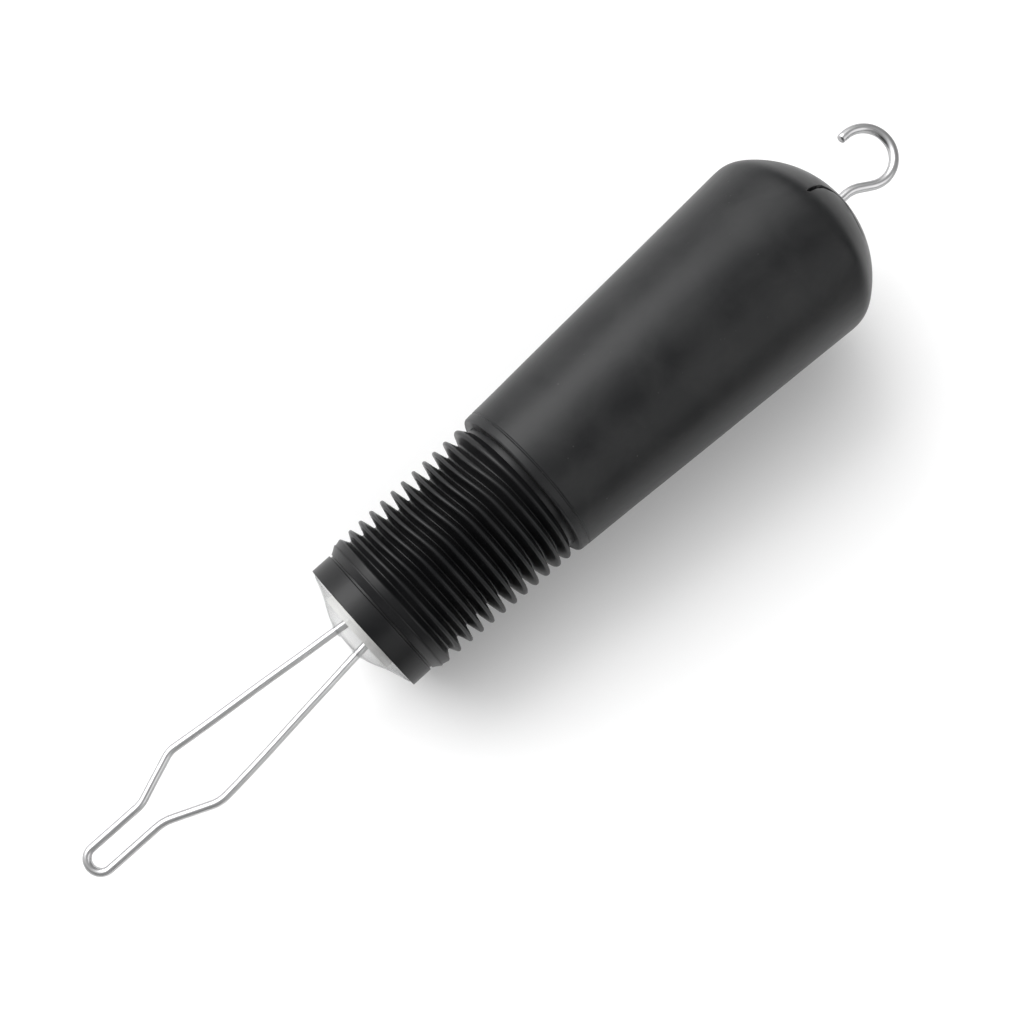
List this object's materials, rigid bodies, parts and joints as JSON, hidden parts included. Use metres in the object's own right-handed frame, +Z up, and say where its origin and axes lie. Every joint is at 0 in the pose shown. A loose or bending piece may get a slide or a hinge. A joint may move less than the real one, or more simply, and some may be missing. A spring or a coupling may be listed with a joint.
{
  "type": "button hook with zip hook",
  "caption": "Dressing aid: a wire button loop and a wire zip-pull hook at the two ends of a thick rubber grip with a ribbed neck.",
  "frame": {"origin": "centre of the collar's front rim, on the grip's axis", "axes": "+X along the grip's axis from the button loop to the zip hook; both wire forms lie flat in the XY plane, the zip hook curls towards +Y, and +Z is up as the tool lies on its side"},
  "size_m": [0.18, 0.0356, 0.0356],
  "materials": {
    "grip_rubber": "matte",
    "neck_rubber": "semi-gloss",
    "clear_resin": "clear, slightly cloudy",
    "core_plastic": "satin",
    "wire_steel": "bright drawn wire",
    "ferrule_steel": "satin"
  },
  "bodies": {
    "root": {"grip_body": "grip_rubber", "ribbed_neck": "neck_rubber", "front_collar": "neck_rubber", "end_plug": "clear_resin", "core_tube": "core_plastic", "loop_anchor": "core_plastic", "button_loop": "wire_steel", "loop_ferrule": "ferrule_steel", "hook_anchor": "core_plastic", "zipper_hook": "wire_steel", "hook_ferrule": "ferrule_steel"}
  },
  "joints": []
}
